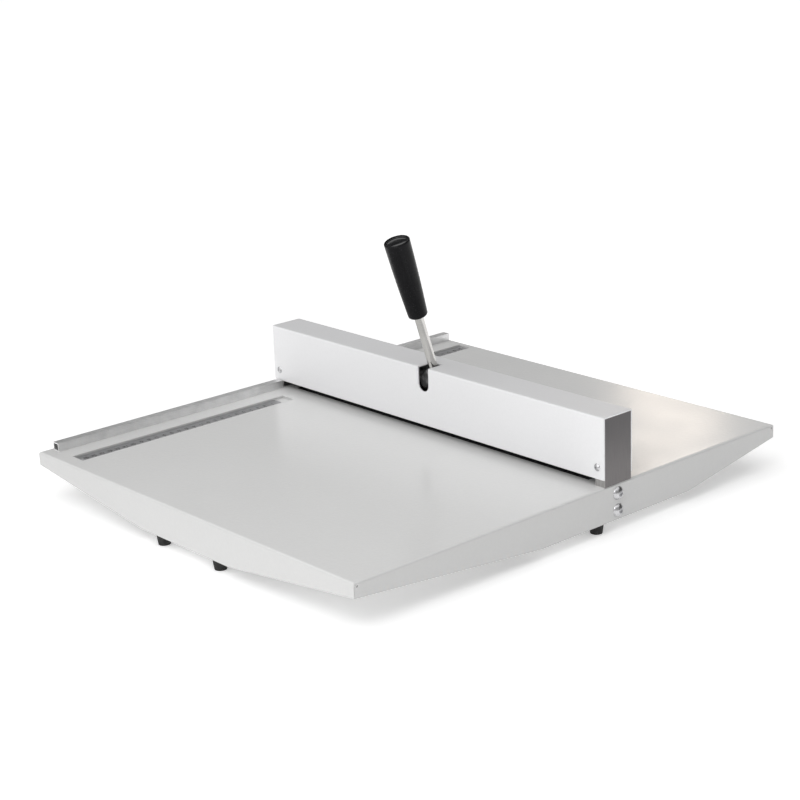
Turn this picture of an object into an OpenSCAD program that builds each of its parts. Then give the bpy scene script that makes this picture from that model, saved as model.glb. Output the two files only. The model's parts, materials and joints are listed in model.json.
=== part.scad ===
// Lever-driven paper creasing press: a folded sheet table with a creasing beam across it.
// +X runs along the beam, +Y from the feed side to the delivery side, +Z up.
// The origin is on the ground, under the centre of the table.

/* [Table] */
// Width of the table along the beam
table_w = 520; // [500:1:540]
// Depth of the table from feed edge to delivery edge
table_d = 592; // [570:1:620]
// Height of the table's top face above the ground
table_h = 50; // [49:0.5:54]
// Thickness of the sheet steel of table and cover
sheet_t = 1.5; // [1.2:0.1:1.6]
// Outer radius of the table's folded edges
fold_r = 2.5; // [2:0.1:3]
// Depth of the skirts at the table's corners
skirt_low = 14.6; // [12:0.2:18]
// Depth of the skirts along their flat middle stretch
skirt_deep = 37.8; // [37:0.1:38]
// Length of the flat stretch of the front and back skirts
front_flat = 145; // [130:1:170]
// Length of the flat stretch of the side skirts
side_flat = 217; // [190:1:240]
// Middle of the side skirts' flat stretch, behind the table's centre
side_flat_y = 48; // [44:1:52]
// Width of the flanges that turn in under the skirts and carry the feet
flange_w = 22; // [20:1:26]

/* [Beam] */
// Centre line of the beam, behind the table's centre
beam_y = 48; // [46:1:54]
// Outer depth of the beam cover
cover_d = 41; // [41:0.5:44]
// Height of the cover's top above the table
cover_top = 72.7; // [72.7:0.1:75]
// Gap between the table and the cover's lower edge
cover_gap = 7.85; // [7:0.05:9]
// Width of the lever slot in the cover
slot_w = 16; // [14:0.5:17]
// How far the lever slot is cut into the cover's top, from its front face
slot_back = 21; // [21:0.1:22]
// Thickness of the end blocks along the beam
block_t = 13; // [12.5:0.1:15]
// Diameter of the large screws that hold the end blocks
bolt_d = 8; // [8:1:8]
// Height of the table above the upper large screw
bolt_drop = 10.2; // [9:0.1:12]
// Distance between the two large screws
bolt_pitch = 18; // [16:0.5:19]

/* [Creasing] */
// Length of the creasing blade, which is the widest sheet it creases
blade_l = 460; // [420:1:460]
// Thickness of the creasing blade
blade_t = 1; // [0.7:0.1:1.2]
// Travel of the blade from rest to fully pressed
blade_travel = 5.5; // [5:0.1:5.5]
// Gap under the raised blade
blade_gap = 5.2; // [5:0.1:5.2]
// Width of the creasing matrix
matrix_w = 24; // [20:1:26]
// Thickness of the creasing matrix
matrix_t = 3; // [2.5:0.1:4]
// Width of the groove in the matrix
groove_w = 1.8; // [1.6:0.1:2.4]

/* [Lever] */
// Height of the lever's pivot above the table
pivot_h = 52.5; // [52:0.1:53]
// Lean of the resting lever from upright, towards the feed side
lever_lean = 17.3; // [16:0.1:20]
// Swing of the lever from rest to fully pressed
lever_travel = 73; // [68:0.5:73]
// Diameter of the lever rod
rod_d = 10; // [9:0.5:11]
// Distance from the pivot to the near end of the grip
grip_near = 82; // [78:1:90]
// Length of the grip
grip_l = 90; // [80:1:100]
// Diameter of the grip at its near end
grip_near_d = 21; // [19:0.5:23]
// Diameter of the grip at its far end
grip_far_d = 28; // [25:0.5:29]
// Diameter of the cam shaft
shaft_d = 16; // [15:0.5:16]
// Radius of the cams' resting side
cam_r = 12; // [11.8:0.1:12]
// Distance of each cam from the middle of the beam
cam_x = 140; // [100:1:190]

/* [Guides and rules] */
// Width of the square side guide tubes
guide_w = 10; // [8:0.5:12]
// Height of the side guide tubes
guide_h = 9; // [8:0.5:10]
// Wall of the side guide tubes
guide_wall = 1.2; // [1:0.1:1.5]
// Gap between the table's left edge and the side guides
guide_inset = 6; // [5:0.5:8]
// Width of the steel rules
rule_w = 20; // [18:0.5:22]
// Distance from the table's left edge to the rules
rule_inset = 40; // [36:1:50]
// Thickness of the steel rules
rule_t = 1; // [0.8:0.1:1.2]
// Depth of the rules below the table's top face
rule_deep = 2; // [1.8:0.1:2.5]

/* [Feet] */
// Diameter of the rubber feet where they meet the flanges
foot_top_d = 16; // [15:0.5:18]
// Diameter of the rubber feet on the ground
foot_low_d = 12.5; // [11:0.5:14]
// Distance of the front and back feet from the table's centre line
foot_x = 47; // [40:1:60]
// Place of the side feet, behind the table's centre
side_foot_y = 29; // [20:1:60]

/* [Hidden] */
$fn = 64;

paint = [0.86, 0.87, 0.88];
steel = [0.72, 0.73, 0.74];
dark_steel = [0.36, 0.36, 0.36];
bronze = [0.72, 0.55, 0.32];
alloy = [0.68, 0.68, 0.68];
black = [0.06, 0.06, 0.06];

// Clearance of a turning shaft in its bore, and the gap kept between other moving pieces
running = 0.05;
gap = 0.3;

skirt_low_z = table_h - skirt_low;
skirt_deep_z = table_h - skirt_deep;
under_table = table_h - sheet_t;
half_w = table_w / 2;
half_d = table_d / 2;

block_in = half_w - block_t;
block_y = cover_d / 2 - sheet_t;
shank_y = block_y - 5;
block_low = skirt_deep_z + sheet_t + gap;
block_top = table_h + cover_top - sheet_t;
bolt_z = [for (drop = [0, bolt_pitch]) table_h - bolt_drop - drop];

pivot_z = table_h + pivot_h;
shaft_end = half_w - 4.5;
bush_d = 20;
bush_l = 9;
bush_flange_d = 23;
bush_flange_t = 1.5;

// The cam's radius grows evenly as it turns: the support line of an involute of this base radius
lift_per_radian = blade_travel / (lever_travel * PI / 180);
cam_w = 16;
cam_boss_w = 10;
cam_boss_r = cam_r - 0.5;
hub_w = 26;
hub_r = cam_r - 0.2;
hub_boss_r = 9;
hub_boss_l = 15;
axle_d = 8;
axle_end = grip_near + 76;
recess_floor = axle_end - gap;
cap_d = 24.6;
cap_in = 2;

holder_top = pivot_z - cam_r - gap;
holder_low = table_h + 12;
holder_x = block_in - 0.5;
clamp_top = holder_low + 14;
blade_edge = table_h + blade_gap;
clamp_x = [-210:70:210];
clamp_z = holder_low + 7;
clamp_screw_d = 5;
clamp_head_d = 8.5;
clamp_head_h = 5;

tongue_y = 20;
tongue_d = 8;
tongue_low = holder_low + 8;
tongue_top = tongue_low + 16;
slot_low = table_h + 6;
spring_d = 7;
wire_d = 0.9;
spring_turns = 6;
spring_y = [-5, 5];

matrix_l = blade_l + 2;
matrix_screw_x = [-222:148:222];
matrix_screw_y = beam_y + 7;

cover_screw_x = half_w - 9;
cover_screw_z = table_h + 20;
cover_screw_d = 4;

guide_x = guide_inset + guide_w / 2 - half_w;
guide_clear = 2.5;
front_guide_y = [-281, beam_y - cover_d / 2 - guide_clear];
back_guide_y = [beam_y + cover_d / 2 + guide_clear, 293];
guide_screw_d = 3;

rule_x = rule_inset + rule_w / 2 - half_w;
front_slot_y = [-279, 6];
front_rule_y = [-278.8, -7];
back_slot_y = [94, 288];
back_rule_y = [107, 287.8];
hanging_hole_d = 5;
hanging_hole_in = 6;
channel_side = 4;
channel_low = table_h - rule_deep - rule_t;

foot_screw_d = 4;
foot_pocket_h = 5;
foot_pocket_d = 8;
side_foot_x = half_w - 12;
end_foot_y = half_d - 10;
foot_spots = [[-foot_x, -end_foot_y], [foot_x, -end_foot_y], [-side_foot_x, side_foot_y],
    [side_foot_x, side_foot_y], [-foot_x, end_foot_y], [foot_x, end_foot_y]];

// ---- Helpers ----

// A block between two corners
module block(low, high) {
    translate(low) cube(high - low);
}

// A cylinder along X, between two places
module rod_x(from, to, d) {
    translate([from, 0, 0]) rotate([0, 90, 0]) cylinder(h = to - from, d = d);
}

// A cylinder along Y, between two places
module rod_y(from, to, d) {
    translate([0, from, 0]) rotate([-90, 0, 0]) cylinder(h = to - from, d = d);
}

// Everything on the cam shaft's axis
module on_shaft() {
    translate([0, beam_y, pivot_z]) children();
}

// Everything on the lever's own axis, with the pivot at its origin
module on_lever() {
    on_shaft() rotate([lever_lean, 0, 0]) children();
}

// A dome-headed screw with a hexagon socket, head up, its seat at the origin
module button_screw(shank_d, length, head_d, head_h, key) {
    ball = (pow(head_d / 2, 2) + pow(head_h, 2)) / (2 * head_h);
    difference() {
        union() {
            intersection() {
                translate([0, 0, head_h - ball]) sphere(ball);
                cylinder(h = head_h + 1, d = head_d + 1);
            }
            translate([0, 0, -length]) cylinder(h = length + 0.5, d = shank_d);
        }
        translate([0, 0, head_h * 0.4]) cylinder(h = head_h, d = key / cos(30), $fn = 6);
    }
}

// A cylinder-headed screw with a hexagon socket, head up, its seat at the origin
module cap_screw(shank_d, length, head_d, head_h, key) {
    difference() {
        union() {
            cylinder(h = head_h, d = head_d);
            translate([0, 0, -length]) cylinder(h = length + 0.5, d = shank_d);
        }
        translate([0, 0, head_h * 0.45]) cylinder(h = head_h, d = key / cos(30), $fn = 6);
    }
}

// A headless screw with a hexagon socket, its point at the origin
module grub_screw(d, length, key) {
    difference() {
        cylinder(h = length, d = d);
        translate([0, 0, length * 0.5]) cylinder(h = length, d = key / cos(30), $fn = 6);
    }
}

// Outline of a folded sheet seen from its end: a rectangle with rounded top corners
module fold_outline(width, height, radius) {
    translate([-width / 2, 0]) square([width, height - radius]);
    translate([radius - width / 2, 0]) square([width - 2 * radius, height]);
    for (side = [-1, 1])
        translate([side * (width / 2 - radius), height - radius]) circle(radius);
}

// A block with all four top edges rounded as folds
module folded_block(width, depth, height, radius) {
    intersection() {
        rotate([90, 0, 0]) linear_extrude(depth, center = true) fold_outline(width, height, radius);
        rotate([90, 0, 90]) linear_extrude(width, center = true) fold_outline(depth, height, radius);
    }
}

// What is missing below a skirt's lower edge, seen square on
module skirt_void(width, flat, middle) {
    half = width / 2;
    polygon([[-half - 1, -1], [half + 1, -1], [half + 1, skirt_low_z], [half, skirt_low_z],
        [middle + flat / 2, skirt_deep_z], [middle - flat / 2, skirt_deep_z],
        [-half, skirt_low_z], [-half - 1, skirt_low_z]]);
}

// ---- Table ----

module base_pan() {
    color(paint) difference() {
        union() {
            pan_shell();
            pan_flanges();
        }
        pan_openings();
        pan_screw_holes();
    }
}

module pan_shell() {
    band = sheet_t + 1;
    relief_in = 3.6;
    relief_d = 2;
    seam = 0.3;
    difference() {
        folded_block(table_w, table_d, table_h, fold_r);
        translate([0, 0, -1])
            folded_block(table_w - 2 * sheet_t, table_d - 2 * sheet_t, under_table + 1,
                fold_r - sheet_t);
        for (side = [-1, 1]) {
            translate([0, side * (half_d - sheet_t + band / 2), 0]) rotate([90, 0, 0])
                linear_extrude(band, center = true) skirt_void(table_w, front_flat, 0);
            translate([side * (half_w - sheet_t + band / 2), 0, 0]) rotate([90, 0, 90])
                linear_extrude(band, center = true) skirt_void(table_d, side_flat, side_flat_y);
            for (end = [-1, 1]) {
                translate([side * half_w, end * half_d, 0]) rotate([0, 0, side * end * 45])
                    translate([-5, -seam / 2, -1]) cube([10, seam, table_h - fold_r]);
                translate([side * half_w, end * (half_d - relief_in), table_h - relief_in])
                    rod_x(-band, band, relief_d);
            }
        }
    }
}

module pan_flanges() {
    for (side = [-1, 1]) {
        translate([0, side * (half_d - flange_w / 2), skirt_deep_z + sheet_t / 2])
            cube([front_flat - 4, flange_w, sheet_t], center = true);
        translate([side * (half_w - flange_w / 2), side_flat_y, skirt_deep_z + sheet_t / 2])
            cube([flange_w, side_flat - 4, sheet_t], center = true);
    }
}

module pan_openings() {
    low = under_table - 1;
    high = table_h + 1;
    block([-matrix_l / 2 - 0.3, beam_y - matrix_w / 2, low],
        [matrix_l / 2 + 0.3, beam_y + matrix_w / 2, high]);
    for (side = [-1, 1])
        translate([side * (block_in + (block_t - sheet_t) / 2), beam_y, table_h])
            cube([block_t - sheet_t, 2 * shank_y, 6], center = true);
    for (reach = [front_slot_y, back_slot_y])
        block([rule_x - rule_w / 2, reach[0], low], [rule_x + rule_w / 2, reach[1], high]);
}

module pan_screw_holes() {
    for (z = bolt_z)
        translate([0, beam_y, z]) rod_x(-half_w - 1, half_w + 1, bolt_d + 0.4);
    for (spot = foot_spots)
        translate([spot[0], spot[1], skirt_deep_z - 1])
            cylinder(h = sheet_t + 2, d = foot_screw_d + 0.4);
    for (y = concat(guide_screw_y(front_guide_y), guide_screw_y(back_guide_y)))
        translate([guide_x, y, under_table - 1]) cylinder(h = sheet_t + 2, d = guide_screw_d + 0.3);
}

module bed_bar() {
    color(steel) difference() {
        block([-block_in, beam_y - shank_y, block_low], [block_in, beam_y + shank_y, under_table]);
        block([-matrix_l / 2, beam_y - matrix_w / 2, table_h - matrix_t],
            [matrix_l / 2, beam_y + matrix_w / 2, table_h]);
        for (side = [-1, 1], z = bolt_z)
            translate([side * block_in, beam_y, z]) rod_x(-20, 20, bolt_d);
        for (x = matrix_screw_x)
            translate([x, matrix_screw_y, table_h - matrix_t - 10]) cylinder(h = 11, d = 3);
    }
}

module creasing_matrix() {
    groove_deep = 1.2;
    color(dark_steel) difference() {
        block([-matrix_l / 2, beam_y - matrix_w / 2, table_h - matrix_t],
            [matrix_l / 2, beam_y + matrix_w / 2, table_h]);
        block([-matrix_l / 2 - 1, beam_y - groove_w / 2, table_h - groove_deep],
            [matrix_l / 2 + 1, beam_y + groove_w / 2, table_h + 1]);
        for (x = matrix_screw_x)
            translate([x, matrix_screw_y, table_h]) countersunk(3, 9);
    }
}

module matrix_screws() {
    color(steel) for (x = matrix_screw_x)
        translate([x, matrix_screw_y, table_h]) difference() {
            countersunk(3, 9);
            translate([0, 0, -1]) cylinder(h = 2, d = 2 / cos(30), $fn = 6);
        }
}

// A countersunk screw, its flat head level with the origin
module countersunk(shank_d, length) {
    head = shank_d;
    translate([0, 0, -head / 2]) cylinder(h = head / 2, d1 = shank_d, d2 = 2 * shank_d);
    translate([0, 0, -length]) cylinder(h = length - head / 4, d = shank_d);
}

// ---- End blocks and cover ----

// The right end block: it stands on the table's folded edge and reaches down inside the skirt
module end_block() {
    color(dark_steel) difference() {
        union() {
            block([block_in, beam_y - block_y, table_h], [half_w, beam_y + block_y, block_top]);
            block([block_in, beam_y - shank_y, block_low],
                [half_w - sheet_t, beam_y + shank_y, table_h + 1]);
        }
        for (z = bolt_z)
            translate([0, beam_y, z]) rod_x(block_in - 1, half_w, bolt_d + 0.4);
        on_shaft() rod_x(block_in - 1, block_in + bush_l, bush_d);
        block([block_in - 1, beam_y - tongue_y / 2, slot_low],
            [block_in + tongue_d, beam_y + tongue_y / 2, tongue_top + gap]);
        for (from = [-block_y - 1, block_y - 8])
            translate([cover_screw_x, beam_y, cover_screw_z]) rod_y(from, from + 9, cover_screw_d);
    }
}

module right_end_block() {
    end_block();
}

module left_end_block() {
    mirror([1, 0, 0]) end_block();
}

module side_screws() {
    color(steel) for (z = bolt_z)
        translate([half_w, beam_y, z]) rotate([0, 90, 0])
            button_screw(bolt_d, block_t + 18, 14, 4.4, 5);
}

module right_side_screws() {
    side_screws();
}

module left_side_screws() {
    mirror([1, 0, 0]) side_screws();
}

module beam_cover() {
    low = table_h + cover_gap;
    slot_mid_z = pivot_z + 1.2;
    color(paint) difference() {
        translate([0, beam_y, low]) rotate([90, 0, 90])
            linear_extrude(table_w, center = true)
                fold_outline(cover_d, cover_top - cover_gap, sheet_t);
        block([-half_w - 1, beam_y - block_y, low - 1], [half_w + 1, beam_y + block_y, block_top]);
        block([-slot_w / 2, beam_y - cover_d / 2 - 1, slot_mid_z],
            [slot_w / 2, beam_y - cover_d / 2 + slot_back, block_top + sheet_t + 1]);
        translate([0, beam_y, slot_mid_z]) rod_y(-cover_d / 2 - 1, -block_y + 1, slot_w);
        for (side = [-1, 1])
            translate([side * cover_screw_x, beam_y, cover_screw_z])
                rod_y(-cover_d, cover_d, cover_screw_d + 0.4);
    }
}

module cover_screws() {
    color(steel) for (x = [-cover_screw_x, cover_screw_x], side = [-1, 1])
        translate([x, beam_y + side * cover_d / 2, cover_screw_z]) rotate([-side * 90, 0, 0])
            button_screw(cover_screw_d, 8, 8, 2.2, 2.5);
}

// ---- Cam shaft and lever ----

module shaft_bush() {
    color(bronze) on_shaft() difference() {
        union() {
            rod_x(block_in - bush_flange_t, block_in + bush_l, bush_d);
            rod_x(block_in - bush_flange_t, block_in, bush_flange_d);
        }
        rod_x(block_in - bush_flange_t - 1, block_in + bush_l + 1, shaft_d + 2 * running);
    }
}

module right_shaft_bush() {
    shaft_bush();
}

module left_shaft_bush() {
    mirror([1, 0, 0]) shaft_bush();
}

module cam_shaft() {
    color(steel) on_shaft() difference() {
        rod_x(-shaft_end, shaft_end, shaft_d);
        rotate([lever_lean, 0, 0]) translate([0, 0, shaft_d / 2 - 1]) cylinder(h = 3, d = rod_d);
    }
}

// Where the cam's face lies in the direction at this angle from +Y, for a flat follower below it
function cam_point(angle) =
    let (reach = cam_r + lift_per_radian * (-90 - angle) * PI / 180)
    [reach * cos(angle) + lift_per_radian * sin(angle),
        reach * sin(angle) - lift_per_radian * cos(angle)];

// A cam with its set-screw boss: the rising face leads up to a nose, then falls back to the round
module cam() {
    rise = [for (angle = [-95 - lever_travel : 3 : -85]) cam_point(angle)];
    color(steel) on_shaft() difference() {
        union() {
            rotate([90, 0, 90]) linear_extrude(cam_w, center = true)
                union() {
                    polygon(concat(rise, [[cam_r * cos(120), cam_r * sin(120)]]));
                    circle(cam_r);
                }
            rod_x(0, cam_w / 2 + cam_boss_w, 2 * cam_boss_r);
        }
        rod_x(-cam_w, cam_w + cam_boss_w, shaft_d);
        translate([(cam_w + cam_boss_w) / 2, 0, shaft_d / 2 - 1])
            cylinder(h = cam_boss_r, d = 5);
    }
}

module right_cam() {
    translate([cam_x, 0, 0]) cam();
}

module left_cam() {
    mirror([1, 0, 0]) translate([cam_x, 0, 0]) cam();
}

module cam_set_screws() {
    color(dark_steel) for (side = [-1, 1])
        on_shaft() translate([side * (cam_x + (cam_w + cam_boss_w) / 2), 0, shaft_d / 2])
            grub_screw(5, cam_boss_r - shaft_d / 2 - 0.2, 2.5);
}

module lever_hub() {
    color(steel) on_lever() difference() {
        union() {
            rod_x(-hub_w / 2, hub_w / 2, 2 * hub_r);
            cylinder(h = hub_boss_l, r = hub_boss_r);
        }
        rod_x(-hub_w, hub_w, shaft_d);
        cylinder(h = hub_boss_l + 1, d = rod_d);
        for (side = [-1, 1])
            translate([side * hub_w / 3, 0, 0]) rotate([-90, 0, 0]) cylinder(h = hub_r + 1, d = 5);
    }
}

module hub_set_screws() {
    color(dark_steel) on_lever() for (side = [-1, 1])
        translate([side * hub_w / 3, 0, 0]) rotate([-90, 0, 0]) translate([0, 0, shaft_d / 2])
            grub_screw(5, hub_r - shaft_d / 2 - 0.2, 2.5);
}

module lever_rod() {
    color(steel) on_lever() difference() {
        union() {
            translate([0, 0, shaft_d / 2 - 1]) cylinder(h = grip_near - gap - shaft_d / 2 + 1, d = rod_d);
            cylinder(h = axle_end, d = axle_d);
        }
        translate([0, 0, -1]) cylinder(h = shaft_d / 2, d = rod_d);
        translate([0, 0, axle_end - 12]) cylinder(h = 13, d = 4);
    }
}

module grip_retaining_screw() {
    color(steel) on_lever() translate([0, 0, axle_end]) cap_screw(4, 11, 11, 3, 3);
}

// Radius of the grip at a share of its length: a taper with a slight swell
function grip_r(share) =
    (grip_near_d + (grip_far_d - grip_near_d) * share) / 2 + 0.5 * sin(180 * share);

module lever_grip() {
    steps = 12;
    round_near = 2.5;
    round_far = 1.5;
    side_wall = [for (i = [0:steps])
        let (z = round_near + (grip_l - round_near - round_far) * i / steps) [grip_r(z / grip_l), z]];
    near_arc = [for (a = [-90:15:-15])
        [grip_r(round_near / grip_l) - round_near * (1 - cos(a)), round_near * (1 + sin(a))]];
    far_arc = [for (a = [15:15:90])
        [grip_r(1 - round_far / grip_l) - round_far * (1 - cos(a)),
            grip_l - round_far * (1 - sin(a))]];
    color(black) on_lever() translate([0, 0, grip_near]) difference() {
        rotate_extrude() polygon(concat([[0, 0]], near_arc, side_wall, far_arc, [[0, grip_l]]));
        translate([0, 0, -1]) cylinder(h = grip_l, d = axle_d + 2 * running);
        translate([0, 0, recess_floor - grip_near]) cylinder(h = grip_l, d = 14);
        translate([0, 0, grip_l - cap_in]) cylinder(h = cap_in + 1, d = cap_d);
    }
}

module grip_cap() {
    plug_l = 3;
    color(black) on_lever() translate([0, 0, grip_near + grip_l - cap_in]) {
        cylinder(h = 1.4, d = cap_d);
        translate([0, 0, -plug_l]) difference() {
            cylinder(h = plug_l + 0.5, d = 14);
            translate([0, 0, -1]) cylinder(h = plug_l, d = 12);
        }
    }
}

// ---- Blade carriage ----

module blade_holder() {
    color(dark_steel) difference() {
        union() {
            block([-holder_x, beam_y - matrix_w / 2, holder_low],
                [holder_x, beam_y + matrix_w / 2, holder_top]);
            block([-block_in - tongue_d + gap, beam_y - tongue_y / 2 + 0.1, tongue_low],
                [block_in + tongue_d - gap, beam_y + tongue_y / 2 - 0.1, tongue_top]);
        }
        block([-holder_x - 1, beam_y - matrix_w, holder_low - 1],
            [holder_x + 1, beam_y + blade_t / 2, clamp_top]);
        for (x = clamp_x)
            translate([x, beam_y, clamp_z]) rod_y(0, 8, clamp_screw_d);
    }
}

module clamp_bar() {
    color(steel) difference() {
        block([-blade_l / 2, beam_y - matrix_w / 2, holder_low],
            [blade_l / 2, beam_y - blade_t / 2, clamp_top]);
        for (x = clamp_x)
            translate([x, beam_y, clamp_z]) {
                rod_y(-matrix_w / 2 - 1, clamp_head_h + 0.2 - matrix_w / 2, clamp_head_d + 0.5);
                rod_y(-matrix_w, 0, clamp_screw_d + 0.4);
            }
    }
}

module creasing_blade() {
    color(steel) difference() {
        union() {
            block([-blade_l / 2, beam_y - blade_t / 2, blade_edge + blade_t / 2],
                [blade_l / 2, beam_y + blade_t / 2, clamp_top]);
            translate([0, beam_y, blade_edge + blade_t / 2]) rod_x(-blade_l / 2, blade_l / 2, blade_t);
        }
        for (x = clamp_x)
            translate([x, beam_y, clamp_z]) rod_y(-blade_t, blade_t, clamp_screw_d + 0.4);
    }
}

module clamp_screws() {
    color(dark_steel) for (x = clamp_x)
        translate([x, beam_y - matrix_w / 2 + clamp_head_h + 0.2, clamp_z]) rotate([90, 0, 0])
            cap_screw(clamp_screw_d, 14, clamp_head_d, clamp_head_h, 4);
}

// Height of the wire's centre after a number of turns: closed end turns, open ones between them
function spring_rise(turn, height) =
    lookup(turn, [[0, wire_d / 2], [1, wire_d * 1.6], [spring_turns - 1, height - wire_d * 1.6],
        [spring_turns, height - wire_d / 2]]);

// A compression spring, standing on the origin
module coil_spring(height) {
    steps = 14;
    sides = 8;
    mean_r = (spring_d - wire_d) / 2;
    rings = steps * spring_turns;
    points = [for (i = [0:rings], j = [0:sides - 1])
        let (angle = 360 * i / steps, around = 360 * j / sides,
            r = mean_r + wire_d / 2 * cos(around))
        [r * cos(angle), r * sin(angle),
            spring_rise(i / steps, height) + wire_d / 2 * sin(around)]];
    walls = [for (i = [0:rings - 1], j = [0:sides - 1])
        let (k = (j + 1) % sides)
        [i * sides + j, i * sides + k, (i + 1) * sides + k, (i + 1) * sides + j]];
    near_end = [for (j = [0:sides - 1]) sides - 1 - j];
    far_end = [for (j = [0:sides - 1]) rings * sides + j];
    polyhedron(points, concat(walls, [near_end], [far_end]), convexity = 6);
}

module return_springs() {
    color(steel) for (y = spring_y)
        translate([block_in + tongue_d / 2, beam_y + y, slot_low]) coil_spring(tongue_low - slot_low);
}

module right_return_springs() {
    return_springs();
}

module left_return_springs() {
    mirror([1, 0, 0]) return_springs();
}

// ---- Side guides and rules ----

// Places of a guide's three screws along its length
function guide_screw_y(reach) = [reach[0] + 20, (reach[0] + reach[1]) / 2, reach[1] - 20];

module side_guide(reach) {
    color(alloy) difference() {
        block([guide_x - guide_w / 2, reach[0], table_h],
            [guide_x + guide_w / 2, reach[1], table_h + guide_h]);
        block([guide_x - guide_w / 2 + guide_wall, reach[0] - 1, table_h + guide_wall],
            [guide_x + guide_w / 2 - guide_wall, reach[1] + 1, table_h + guide_h - guide_wall]);
        for (y = guide_screw_y(reach))
            translate([guide_x, y, table_h - 1]) cylinder(h = guide_wall + 2, d = guide_screw_d);
    }
}

module front_side_guide() {
    side_guide(front_guide_y);
}

module back_side_guide() {
    side_guide(back_guide_y);
}

module guide_screws(reach) {
    color(steel) for (y = guide_screw_y(reach))
        translate([guide_x, y, under_table]) rotate([180, 0, 0])
            button_screw(guide_screw_d, sheet_t + guide_wall + 1, 5.7, 1.7, 2);
}

module front_guide_screws() {
    guide_screws(front_guide_y);
}

module back_guide_screws() {
    guide_screws(back_guide_y);
}

// A shallow tray under the table's slot, which sinks the rule below the table's top
module rule_channel(reach) {
    color(paint) difference() {
        block([rule_x - rule_w / 2 - channel_side, reach[0] - channel_side, channel_low - 1],
            [rule_x + rule_w / 2 + channel_side, reach[1] + channel_side, under_table]);
        block([rule_x - rule_w / 2, reach[0], channel_low],
            [rule_x + rule_w / 2, reach[1], table_h]);
    }
}

module front_rule_channel() {
    rule_channel(front_slot_y);
}

module back_rule_channel() {
    rule_channel(back_slot_y);
}

// A rule with a round hanging hole near its outer end
module rule(reach, hole_y) {
    color(alloy) difference() {
        block([rule_x - rule_w / 2 + 0.2, reach[0], channel_low],
            [rule_x + rule_w / 2 - 0.2, reach[1], channel_low + rule_t]);
        translate([rule_x, hole_y, channel_low - 1]) cylinder(h = rule_t + 2, d = hanging_hole_d);
    }
}

module front_rule() {
    rule(front_rule_y, front_rule_y[0] + hanging_hole_in);
}

module back_rule() {
    rule(back_rule_y, back_rule_y[1] - hanging_hole_in);
}

// ---- Feet ----

module foot(spot) {
    color(black) translate([spot[0], spot[1], 0]) difference() {
        cylinder(h = skirt_deep_z, d1 = foot_low_d, d2 = foot_top_d);
        translate([0, 0, -1]) cylinder(h = foot_pocket_h + 1, d = foot_pocket_d);
        cylinder(h = skirt_deep_z + 1, d = foot_screw_d);
    }
}

module front_left_foot() {
    foot(foot_spots[0]);
}

module front_right_foot() {
    foot(foot_spots[1]);
}

module left_foot() {
    foot(foot_spots[2]);
}

module right_foot() {
    foot(foot_spots[3]);
}

module back_left_foot() {
    foot(foot_spots[4]);
}

module back_right_foot() {
    foot(foot_spots[5]);
}

module foot_screws() {
    color(steel) for (spot = foot_spots)
        translate([spot[0], spot[1], foot_pocket_h]) rotate([180, 0, 0])
            button_screw(foot_screw_d, skirt_deep_z - foot_pocket_h + 5, 7.6, 2.2, 2.5);
}

module foot_nuts() {
    color(steel) for (spot = foot_spots)
        translate([spot[0], spot[1], skirt_deep_z + sheet_t]) difference() {
            cylinder(h = 3.2, d = 7 / cos(30), $fn = 6);
            translate([0, 0, -1]) cylinder(h = 6, d = foot_screw_d);
        }
}

base_pan();
bed_bar();
creasing_matrix();
matrix_screws();
left_end_block();
right_end_block();
left_side_screws();
right_side_screws();
beam_cover();
cover_screws();
left_shaft_bush();
right_shaft_bush();
cam_shaft();
left_cam();
right_cam();
cam_set_screws();
lever_hub();
hub_set_screws();
lever_rod();
grip_retaining_screw();
lever_grip();
grip_cap();
blade_holder();
clamp_bar();
creasing_blade();
clamp_screws();
left_return_springs();
right_return_springs();
front_side_guide();
back_side_guide();
front_guide_screws();
back_guide_screws();
front_rule_channel();
back_rule_channel();
front_rule();
back_rule();
front_left_foot();
front_right_foot();
left_foot();
right_foot();
back_left_foot();
back_right_foot();
foot_screws();
foot_nuts();
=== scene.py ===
"""Looks of a lever-driven paper creasing press: materials, fine pieces, light and camera."""

import json
import math

import bmesh
import bpy
from mathutils import Matrix, Vector


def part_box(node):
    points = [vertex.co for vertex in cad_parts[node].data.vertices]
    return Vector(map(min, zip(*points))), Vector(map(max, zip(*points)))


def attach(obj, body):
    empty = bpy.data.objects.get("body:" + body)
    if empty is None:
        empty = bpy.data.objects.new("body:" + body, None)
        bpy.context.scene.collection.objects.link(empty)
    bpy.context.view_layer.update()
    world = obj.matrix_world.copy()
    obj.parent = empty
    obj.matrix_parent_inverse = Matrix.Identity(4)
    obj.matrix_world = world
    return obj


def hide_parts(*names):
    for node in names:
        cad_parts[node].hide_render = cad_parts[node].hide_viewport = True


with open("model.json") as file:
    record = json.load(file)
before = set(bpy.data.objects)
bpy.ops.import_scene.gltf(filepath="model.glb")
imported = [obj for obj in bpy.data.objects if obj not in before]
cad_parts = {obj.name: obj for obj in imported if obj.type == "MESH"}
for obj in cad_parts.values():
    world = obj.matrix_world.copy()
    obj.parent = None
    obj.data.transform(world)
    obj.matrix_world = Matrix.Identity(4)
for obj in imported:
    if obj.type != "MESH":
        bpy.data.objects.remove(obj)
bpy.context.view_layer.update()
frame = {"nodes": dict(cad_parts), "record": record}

MM = 0.001

# ---- Camera ----

CAMERA_AT = Vector((1.4385, -1.2657, 0.7010))
CAMERA_AZIMUTH = 48.806
CAMERA_ELEVATION = 17.606
CAMERA_ROLL = -2.183
LENS = 84.95
SENSOR = 36.0


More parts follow.
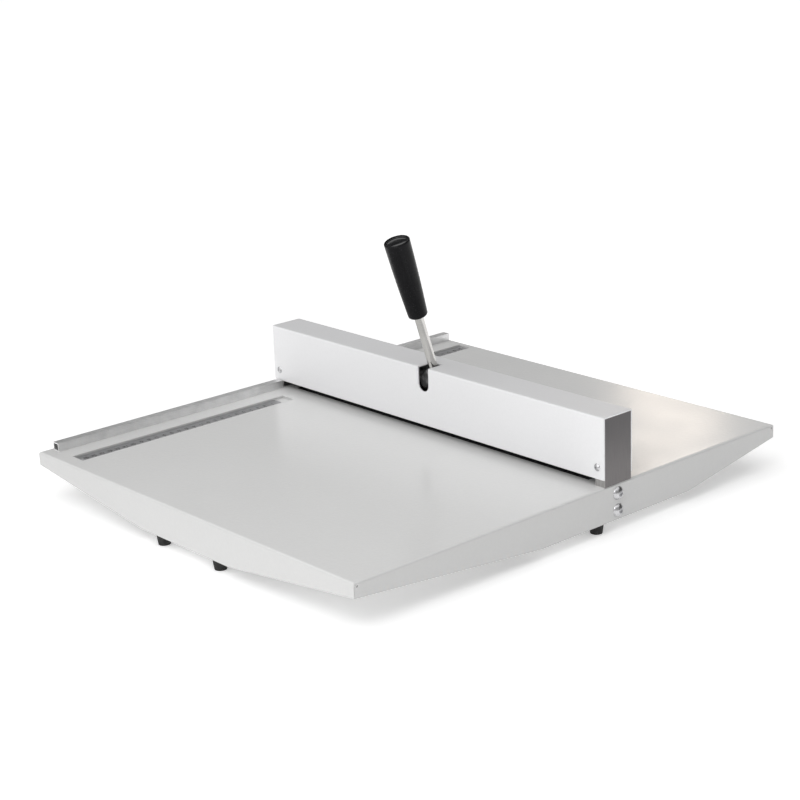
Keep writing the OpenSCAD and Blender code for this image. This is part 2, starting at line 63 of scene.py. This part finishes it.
def make_camera():
    """The camera looks down its -Z axis, from the front right and a little above."""
    azimuth, elevation, roll = (
        math.radians(a) for a in (CAMERA_AZIMUTH, CAMERA_ELEVATION, CAMERA_ROLL)
    )
    back = Vector(
        (
            math.sin(azimuth) * math.cos(elevation),
            -math.cos(azimuth) * math.cos(elevation),
            math.sin(elevation),
        )
    )
    level = Vector((0, 0, 1)).cross(back).normalized()
    upright = back.cross(level)
    right = math.cos(roll) * level + math.sin(roll) * upright
    up = math.cos(roll) * upright - math.sin(roll) * level
    data = bpy.data.cameras.new("camera")
    data.sensor_width = SENSOR
    data.lens = LENS
    camera = bpy.data.objects.new("camera", data)
    turn = Matrix((right, up, back)).transposed().to_4x4()
    camera.matrix_world = Matrix.Translation(CAMERA_AT) @ turn
    bpy.context.scene.collection.objects.link(camera)
    bpy.context.scene.camera = camera


# ---- Node helpers ----


class Shader:
    """A Principled material with short calls for the procedural nodes that feed it."""

    def __init__(self, name, color, roughness, metallic=0.0, **sockets):
        self.material = bpy.data.materials.new(name)
        self.material.use_nodes = True
        self.tree = self.material.node_tree
        self.bsdf = self.tree.nodes["Principled BSDF"]
        self.color = (*color, 1.0)
        self.bsdf.inputs["Base Color"].default_value = self.color
        self.bsdf.inputs["Roughness"].default_value = roughness
        self.bsdf.inputs["Metallic"].default_value = metallic
        for socket, value in sockets.items():
            self.bsdf.inputs[socket.replace("_", " ")].default_value = value
        self.normal = None

    def add(self, kind, **values):
        """A new node of a kind, with its settings."""
        node = self.tree.nodes.new("ShaderNode" + kind)
        for key, value in values.items():
            setattr(node, key, value)
        return node

    def link(self, source, target):
        self.tree.links.new(source, target)

    def place(self, scale=(1, 1, 1), rotation=(0, 0, 0)):
        """Coordinates in metres in the part's own frame, stretched and turned."""
        coordinates = self.add("TexCoord")
        mapping = self.add("Mapping")
        mapping.inputs["Rotation"].default_value = rotation
        mapping.inputs["Scale"].default_value = scale
        self.link(coordinates.outputs["Object"], mapping.inputs["Vector"])
        return mapping.outputs["Vector"]

    def noise(self, size, detail=2.0, stretch=(1, 1, 1), rotation=(0, 0, 0), rough=0.5):
        """Noise with features of about size metres; stretch makes them longer along an axis."""
        node = self.add("TexNoise")
        node.inputs["Scale"].default_value = 1.0
        node.inputs["Detail"].default_value = detail
        node.inputs["Roughness"].default_value = rough
        scale = tuple(1.0 / (size * s) for s in stretch)
        self.link(self.place(scale, rotation), node.inputs["Vector"])
        return node.outputs["Fac"]

    def ramp(self, value, low, high, stops=(0.3, 0.7)):
        """Maps a pattern to a range of numbers."""
        node = self.add("MapRange", interpolation_type="SMOOTHSTEP")
        node.inputs["From Min"].default_value = stops[0]
        node.inputs["From Max"].default_value = stops[1]
        node.inputs["To Min"].default_value = low
        node.inputs["To Max"].default_value = high
        self.link(value, node.inputs["Value"])
        return node.outputs["Result"]

    def math(self, operation, a, b):
        """Arithmetic on two values, each a number or a socket."""
        node = self.add("Math", operation=operation)
        for socket, value in zip(node.inputs, (a, b)):
            if isinstance(value, (int, float)):
                socket.default_value = value
            else:
                self.link(value, socket)
        return node.outputs["Value"]

    def tint(self, pattern, color, amount=1.0):
        """Mixes a second colour in where the pattern is high."""
        mix = self.add("Mix", data_type="RGBA")
        source = self.bsdf.inputs["Base Color"]
        if source.is_linked:
            self.link(source.links[0].from_socket, mix.inputs["A"])
        else:
            mix.inputs["A"].default_value = self.color
        mix.inputs["B"].default_value = (*color, 1.0)
        factor = pattern if amount == 1.0 else self.math("MULTIPLY", pattern, amount)
        self.link(factor, mix.inputs["Factor"])
        self.link(mix.outputs["Result"], source)

    def vary_roughness(self, pattern, low, high):
        """Makes the roughness follow a pattern between two numbers."""
        self.link(self.ramp(pattern, low, high), self.bsdf.inputs["Roughness"])

    def bump(self, pattern, height):
        """Adds relief; later calls lie on top of earlier ones."""
        node = self.add("Bump")
        node.inputs["Distance"].default_value = height
        self.link(pattern, node.inputs["Height"])
        if self.normal is not None:
            self.link(self.normal, node.inputs["Normal"])
        self.normal = node.outputs["Normal"]
        self.link(self.normal, self.bsdf.inputs["Normal"])

    def part(self, output, axis):
        """One part of the object's own coordinates or normals, for masks."""
        split = self.add("SeparateXYZ")
        self.link(self.add("TexCoord").outputs[output], split.inputs["Vector"])
        return split.outputs[axis]

    def soften(self, radius):
        """Rounds the shading at sharp edges by a small radius."""
        node = self.add("Bevel", samples=6)
        node.inputs["Radius"].default_value = radius
        self.normal = node.outputs["Normal"]
        self.link(self.normal, self.bsdf.inputs["Normal"])

    def edges(self, radius):
        """A pattern that is high along sharp outer and inner edges."""
        bevel = self.add("Bevel", samples=6)
        bevel.inputs["Radius"].default_value = radius
        geometry = self.add("NewGeometry")
        dot = self.add("VectorMath", operation="DOT_PRODUCT")
        self.link(bevel.outputs["Normal"], dot.inputs[0])
        self.link(geometry.outputs["Normal"], dot.inputs[1])
        return self.ramp(dot.outputs["Value"], 1.0, 0.0, (0.82, 0.995))


# ---- Materials ----


def powder_coat(name, color, roughness, peel, shine, painted_side_shade, painted_top_shade):
    """Powder coat: orange peel, clouds of tone, uneven gloss, and painted shade that makes upright or top
    faces greyer.
    """
    s = Shader(name, color, roughness, Specular_IOR_Level=shine)
    s.soften(0.5 * MM)
    lighter = tuple(min(1.0, c * 1.06) for c in color)
    darker = tuple(c * 0.95 for c in color)
    s.tint(s.ramp(s.noise(120 * MM, 2), 0, 1, (0.2, 0.8)), darker, 0.35)
    s.tint(s.ramp(s.noise(3 * MM, 2), 0, 1), lighter, 0.2)
    # Painted shade: upright or top faces are darkened towards black, standing in for how the light falls
    # on them
    facing_up = s.part("Normal", "Z")
    s.tint(s.ramp(facing_up, painted_side_shade, painted_top_shade, (0.3, 0.8)), (0, 0, 0))
    s.vary_roughness(s.noise(60 * MM, 2), roughness - 0.02, roughness + 0.02)
    s.bump(s.noise(3.2 * MM, 2), peel)
    return s.material


def brushed_steel(name, color, roughness, grain, stretch, rotation=(0, 0, 0)):
    """Ground or brushed steel: fine streaks along one direction and an uneven sheen."""
    s = Shader(name, color, roughness, metallic=1.0)
    s.soften(0.3 * MM)
    streaks = s.noise(grain, 3, stretch, rotation, 0.65)
    s.tint(s.ramp(streaks, 0, 1), tuple(c * 0.8 for c in color), 0.7)
    s.tint(s.ramp(s.noise(16 * MM, 3), 0, 1), tuple(min(1, c * 1.12) for c in color), 0.6)
    s.vary_roughness(streaks, roughness - 0.06, roughness + 0.08)
    s.bump(streaks, 0.012 * MM)
    return s.material


def block_steel(name):
    """A machined block ground upright: bright sides, ends darkened by painted shade that stands in for
    dark reflections, and more painted shade towards the top.
    """
    bare, painted_end_shade, painted_high_shade, streak, worn = (
        (0.55, 0.54, 0.53), (0.19, 0.18, 0.18), (0.05, 0.05, 0.055), (0.12, 0.12, 0.12), (0.5, 0.5, 0.5)
    )
    painted_shade_heights = (60 * MM, 120 * MM)
    s = Shader(name, bare, 0.36, metallic=1.0)
    s.soften(0.3 * MM)
    streaks = s.noise(0.4 * MM, 3, (1, 1, 60), rough=0.65)
    facing_out = s.math("ABSOLUTE", s.part("Normal", "X"), 0)
    # Painted shade: the ends, facing out along X, are darkened as though they reflected a dark room
    s.tint(s.ramp(facing_out, 0, 1, (0.5, 0.9)), painted_end_shade)
    # Painted shade: the block grows darker towards the top between these heights
    s.tint(s.ramp(s.part("Object", "Z"), 0, 0.45, painted_shade_heights), painted_high_shade)
    s.tint(s.ramp(streaks, 0, 0.35), streak)
    s.tint(s.edges(0.5 * MM), worn, 0.8)
    s.vary_roughness(streaks, 0.30, 0.44)
    s.bump(streaks, 0.012 * MM)
    return s.material


def blackened_steel(name):
    """Black oxide on steel, with an oily cloudiness and steel showing at the edges."""
    s = Shader(name, (0.028, 0.028, 0.031), 0.42, metallic=0.85)
    s.soften(0.3 * MM)
    s.tint(s.ramp(s.noise(9 * MM, 4), 0, 1), (0.05, 0.048, 0.046), 0.8)
    s.tint(s.edges(0.35 * MM), (0.22, 0.22, 0.22), 0.7)
    s.vary_roughness(s.noise(4 * MM, 3), 0.32, 0.5)
    s.bump(s.noise(0.35 * MM, 2), 0.01 * MM)
    return s.material


def moulded_plastic(name, color, roughness, skin, shine):
    """Moulded plastic with a faint skin texture, uneven sheen and a little dust."""
    s = Shader(name, color, roughness, Specular_IOR_Level=shine)
    s.tint(s.ramp(s.noise(7 * MM, 4), 0, 1, (0.45, 0.8)), (0.006, 0.006, 0.007), 0.6)
    s.vary_roughness(s.noise(5 * MM, 3), roughness - 0.05, roughness + 0.07)
    s.bump(s.noise(0.45 * MM, 2), skin)
    return s.material


def rubber(name):
    """Moulded rubber, matt and a little dusty."""
    s = Shader(name, (0.014, 0.014, 0.014), 0.75)
    s.soften(0.4 * MM)
    s.tint(s.ramp(s.noise(1.5 * MM, 4), 0, 1, (0.5, 0.8)), (0.05, 0.048, 0.045), 0.5)
    s.vary_roughness(s.noise(3 * MM, 3), 0.66, 0.85)
    s.bump(s.noise(0.3 * MM, 2), 0.02 * MM)
    return s.material


def make_materials():
    """Each material slot's recipe: what makes it, and the values that it takes."""
    even, along_x, along_y = (1, 1, 1), (60, 1, 1), (1, 60, 1)
    turned, fine_turned, across_rod = (1, 6, 6), (1, 8, 8), (14, 14, 1)
    lean = math.radians(-17.3)
    recipes = {
        # The last two numbers of each paint are painted shade: the table's skirts 10 per cent darker, the
        # cover's top 21 per cent darker
        "table_paint": (powder_coat, (0.70, 0.70, 0.695), 0.20, 0.12 * MM, 0.5, 0.10, 0),
        "cover_paint": (powder_coat, (0.89, 0.89, 0.90), 0.36, 0.018 * MM, 0.3, 0, 0.21),
        "bed_steel": (brushed_steel, (0.50, 0.50, 0.51), 0.38, 0.5 * MM, along_x),
        "matrix_steel": (blackened_steel,),
        "block_steel": (block_steel,),
        "bright_screws": (brushed_steel, (0.60, 0.60, 0.61), 0.26, 0.3 * MM, even),
        "black_screws": (blackened_steel,),
        "bush_bronze": (brushed_steel, (0.55, 0.38, 0.18), 0.34, 0.4 * MM, turned),
        "ground_steel": (brushed_steel, (0.70, 0.70, 0.70), 0.30, 0.35 * MM, fine_turned),
        "polished_steel": (
            brushed_steel, (0.68, 0.67, 0.65), 0.12, 0.4 * MM, across_rod, (lean, 0, 0)
        ),
        "grip_plastic": (moulded_plastic, (0.002, 0.002, 0.003), 0.30, 0.006 * MM, 0.2),
        "cap_polish": (moulded_plastic, (0.003, 0.003, 0.004), 0.08, 0.002 * MM, 1.0),
        "holder_black": (blackened_steel,),
        "blade_steel": (brushed_steel, (0.50, 0.50, 0.51), 0.3, 0.4 * MM, along_x),
        "spring_steel": (brushed_steel, (0.42, 0.42, 0.43), 0.3, 0.4 * MM, even),
        "guide_alloy": (brushed_steel, (0.86, 0.86, 0.86), 0.40, 0.5 * MM, along_y),
        "rule_steel": (brushed_steel, (0.50, 0.50, 0.51), 0.34, 0.35 * MM, along_y),
        "foot_rubber": (rubber,),
    }
    return {name: make(name, *values) for name, (make, *values) in recipes.items()}


def paint_nodes(materials):
    """Every CAD node takes the material of its slot in the record."""
    for row in frame["record"]["subparts"]:
        node = frame["nodes"][row["node"]]
        node.data.materials.clear()
        node.data.materials.append(materials[row["material_slot"]])


# ---- Fine pieces ----


def make_mesh(name, vertices, faces, smooth=False):
    """A mesh object made of lists of points and faces, its normals turned outwards."""
    mesh = bpy.data.meshes.new(name)
    mesh.from_pydata(vertices, [], faces)
    solid = bmesh.new()
    solid.from_mesh(mesh)
    bmesh.ops.remove_doubles(solid, verts=solid.verts, dist=0.001 * MM)
    bmesh.ops.recalc_face_normals(solid, faces=solid.faces)
    solid.to_mesh(mesh)
    solid.free()
    for face in mesh.polygons:
        face.use_smooth = smooth
    piece = bpy.data.objects.new(name, mesh)
    bpy.context.scene.collection.objects.link(piece)
    return piece


def lathe(name, outline, sides):
    """A solid of revolution about Z, turned from an outline of radii and heights."""
    vertices = []
    for i in range(sides):
        angle = 2 * math.pi * i / sides
        vertices += [(r * math.cos(angle), r * math.sin(angle), z) for r, z in outline]
    rings = len(outline)
    faces = []
    for i in range(sides):
        here, there = i * rings, (i + 1) % sides * rings
        faces += [(here + k, there + k, there + k + 1, here + k + 1) for k in range(rings - 1)]
    return make_mesh(name, vertices, faces, smooth=True)


def arc(center, radius, start, end, steps):
    """Points on an arc in the outline's plane, angles in degrees from the outward direction."""
    angles = [math.radians(start + (end - start) * i / steps) for i in range(steps + 1)]
    return [(center[0] + radius * math.cos(a), center[1] + radius * math.sin(a)) for a in angles]


# The grip's sizes, measured along the lever's own axis from its pivot
GRIP_LENGTH = 90 * MM
GRIP_FROM_PIVOT = 82 * MM
GRIP_NEAR_R = 10.5 * MM
GRIP_FAR_R = 14 * MM
GRIP_SWELL = 0.5 * MM
GRIP_BORE_R = 4.05 * MM
CAP_RECESS = 2 * MM
CAP_RECESS_R = 12.3 * MM
CAP_R = 12.2 * MM


def grip_radius(share):
    """The grip's radius at a share of its length: a taper with a slight swell."""
    return GRIP_NEAR_R + (GRIP_FAR_R - GRIP_NEAR_R) * share + GRIP_SWELL * math.sin(math.pi * share)


def lever_frame():
    """The lever's place and lean: its origin is the pivot and Z runs up the rod."""
    joints = {joint["name"]: joint for joint in frame["record"]["behaviour"]["joints"]}
    pivot = Vector(joints["lever_swing"]["pos_m"])
    along = Vector(joints["grip_spin"]["axis"]).normalized()
    turn = Vector((0, 0, 1)).rotation_difference(along).to_matrix().to_4x4()
    return Matrix.Translation(pivot) @ turn


def place_on_lever(piece, height):
    """Moves a piece made about Z to a height above the pivot, along the lever's lean."""
    piece.data.transform(lever_frame() @ Matrix.Translation((0, 0, height)))


def make_grip(materials):
    """The turned plastic grip: a swelling taper, a rounded near end, and a lip round the sunk cap."""
    near, far = 2.6 * MM, 1.5 * MM
    near_r = grip_radius(near / GRIP_LENGTH) - near
    far_r = grip_radius(1 - far / GRIP_LENGTH) - far
    steps = 40
    walls = [
        (grip_radius(z / GRIP_LENGTH), z)
        for z in (near + (GRIP_LENGTH - near - far) * i / steps for i in range(1, steps))
    ]
    lip = 0.15 * MM
    chamfer = 0.6 * MM
    outline = (
        [(GRIP_BORE_R, chamfer), (GRIP_BORE_R + chamfer, 0)]
        + arc((near_r, near), near, -90, 0, 8)
        + walls
        + arc((far_r, GRIP_LENGTH - far), far, 0, 90, 8)
        + arc((CAP_RECESS_R + lip, GRIP_LENGTH - lip), lip, 90, 180, 4)
        + [(CAP_RECESS_R, GRIP_LENGTH - CAP_RECESS), (GRIP_BORE_R, GRIP_LENGTH - CAP_RECESS)]
    )
    outline.append(outline[0])
    grip = lathe("grip_shell", outline, 96)
    grip.data.materials.append(materials["grip_plastic"])
    place_on_lever(grip, GRIP_FROM_PIVOT)
    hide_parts("lever_grip")
    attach(grip, "grip")


def make_grip_cap(materials):
    """The polished cap sunk in the grip's end: a dome inside a small rolled rim."""
    rim = 0.25 * MM
    height = 1.35 * MM
    dome = 1.0 * MM
    steps = 24
    dome_r = CAP_R - 2 * rim
    face = [
        (dome_r * (1 - i / steps), height - dome * (1 - i / steps) ** 3)
        for i in range(steps + 1)
    ]
    outline = (
        [(0, 0), (CAP_R, 0)]
        + arc((CAP_R - rim, height - dome), rim, 0, 180, 8)[:-1]
        + face
    )
    cap = lathe("grip_end_cap", outline, 96)
    cap.data.materials.append(materials["cap_polish"])
    above_floor = 0.05 * MM
    place_on_lever(cap, GRIP_FROM_PIVOT + GRIP_LENGTH - CAP_RECESS + above_floor)
    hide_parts("grip_cap")
    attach(cap, "grip")


MARK_THICK = 0.04 * MM
# A numeral's seven strokes, each between two corners of a grid one cell wide and two high
STROKES = {
    "a": ((0, 2), (1, 2)), "b": ((1, 1), (1, 2)), "c": ((1, 0), (1, 1)), "d": ((0, 0), (1, 0)),
    "e": ((0, 0), (0, 1)), "f": ((0, 1), (0, 2)), "g": ((0, 1), (1, 1)),
}
NUMERALS = ["abcdef", "bc", "abged", "abgcd", "fgbc", "afgcd", "afgedc", "abc", "abcdefg", "abcdfg"]


def add_bar(vertices, faces, low, high, floor):
    """A thin raised bar between two corners, lying on a floor height."""
    first = len(vertices)
    for z in (floor, floor + MARK_THICK):
        vertices += [(low[0], low[1], z), (high[0], low[1], z)]
        vertices += [(high[0], high[1], z), (low[0], high[1], z)]
    sides = ((0, 3, 2, 1), (4, 5, 6, 7), (0, 1, 5, 4), (1, 2, 6, 5), (2, 3, 7, 6), (3, 0, 4, 7))
    faces += [tuple(first + corner for corner in side) for side in sides]


def add_number(vertices, faces, number, x, y, floor):
    """A number beside a rule's mark, read from the table's right: up is -X and it runs along +Y."""
    cell, width, gap, line = 1.7 * MM, 1.9 * MM, 1.0 * MM, 0.22 * MM
    text = str(number)
    start = y - (len(text) * width + (len(text) - 1) * gap) / 2
    for place, digit in enumerate(text):
        left = start + place * (width + gap)
        for stroke in NUMERALS[int(digit)]:
            (u0, v0), (u1, v1) = STROKES[stroke]
            low = (x - max(v0, v1) * cell - line, left + min(u0, u1) * width - line)
            high = (x - min(v0, v1) * cell + line, left + max(u0, u1) * width + line)
            add_bar(vertices, faces, low, high, floor)


# How far each kind of mark reaches and half its width, by its step in millimetres
MARKS = {10: (6.5 * MM, 0.30 * MM), 5: (4.5 * MM, 0.12 * MM), 1: (3 * MM, 0.12 * MM)}


def make_ink():
    """Black printing ink, worn thin in places."""
    ink = Shader("rule_ink", (0.012, 0.012, 0.013), 0.55)
    ink.tint(ink.ramp(ink.noise(1.2 * MM, 3), 0, 1, (0.5, 0.8)), (0.06, 0.06, 0.06), 0.6)
    ink.vary_roughness(ink.noise(2 * MM, 2), 0.45, 0.65)
    return ink.material


def make_rule_marks(name, node, direction):
    """Millimetre marks and centimetre numbers, printed by the rule's inner edge from the beam out."""
    end_margin, edge_margin, number_in = 2 * MM, 0.3 * MM, 8 * MM
    low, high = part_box(node)
    length = high[1] - low[1] - 2 * end_margin
    start = high[1] - end_margin if direction < 0 else low[1] + end_margin
    edge = high[0] - edge_margin
    vertices, faces = [], []
    for step in range(int(length / MM) + 1):
        y = start + direction * step * MM
        kind = 10 if step % 10 == 0 else 5 if step % 5 == 0 else 1
        reach, half = MARKS[kind]
        add_bar(vertices, faces, (edge - reach, y - half), (edge, y + half), high[2])
        if kind == 10 and step:
            add_number(vertices, faces, step // 10, edge - number_in, y, high[2])
    marks = make_mesh(name, vertices, faces)
    marks.data.materials.append(make_ink())
    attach(marks, "frame")


# ---- Floor and light ----


FLOOR_SIZE = 40
FLOOR_GLOW = 0.30


def make_floor():
    """A plain pale floor that glows a little, so that it stays even and white."""
    s = Shader("floor", (0.96, 0.96, 0.96), 0.9)
    s.tint(s.ramp(s.noise(0.4, 3), 0, 1), (0.94, 0.94, 0.94), 0.5)
    s.bsdf.inputs["Emission Color"].default_value = (1, 1, 1, 1)
    s.bsdf.inputs["Emission Strength"].default_value = FLOOR_GLOW
    bpy.ops.mesh.primitive_plane_add(size=FLOOR_SIZE, location=(0, 0, 0))
    floor = bpy.context.object
    floor.name = "floor"
    floor.data.materials.append(s.material)


# Soft suns light everything evenly: name, strength, where the light comes from, its spread in degrees
SUNS = [
    ("sun_front_left", 1.20, (-0.55, -1.0, 0.55), 90),
    ("sun_front_right", 0.45, (1.0, -0.7, 0.6), 90),
    ("sun_top", 1.42, (0.0, 0.0, 1.0), 90),
]
# Panels stand near the press: name, power in watts, colour, place, the point it faces, width and height
PANELS = [
    ("front_softbox", 2.4, (1.0, 1.0, 1.0), (0.55, -0.95, 0.75), (0.0, 0.0, 0.05), 0.5, 0.5),
    ("window", 0.85, (1.0, 0.86, 0.73), (-1.24, 1.90, 0.80), (0.19, 0.22, 0.05), 0.22, 0.45),
    ("back_wall", 2.0, (1.0, 1.0, 1.0), (-1.68, 1.57, 1.2), (0.0, 0.0, 0.05), 1.8, 0.8),
]
WORLD_STRENGTH = 0.08


def add_light(data, at, to, color, energy):
    """Puts a light in the scene, turned from its place towards a point."""
    data.color = color
    data.energy = energy
    lamp = bpy.data.objects.new(data.name, data)
    lamp.location = at
    lamp.rotation_euler = (Vector(to) - Vector(at)).to_track_quat("-Z", "Y").to_euler()
    bpy.context.scene.collection.objects.link(lamp)


def make_lights():
    """The suns, the panels and a faint even sky."""
    for name, strength, source, spread in SUNS:
        data = bpy.data.lights.new(name, "SUN")
        data.angle = math.radians(spread)
        add_light(data, source, (0, 0, 0), (1, 1, 1), strength)
    for name, power, color, at, to, width, height in PANELS:
        data = bpy.data.lights.new(name, "AREA")
        data.shape = "RECTANGLE"
        data.size, data.size_y = width, height
        add_light(data, at, to, color, power)
    world = bpy.data.worlds.new("studio")
    world.use_nodes = True
    background = world.node_tree.nodes["Background"]
    background.inputs["Color"].default_value = (1, 1, 1, 1)
    background.inputs["Strength"].default_value = WORLD_STRENGTH
    bpy.context.scene.world = world
    bpy.context.scene.view_settings.view_transform = "Standard"


# ---- Build ----

make_camera()
materials = make_materials()
paint_nodes(materials)
make_grip(materials)
make_grip_cap(materials)
make_rule_marks("front_rule_marks", "front_rule", -1)
make_rule_marks("back_rule_marks", "back_rule", 1)
make_floor()
make_lights()
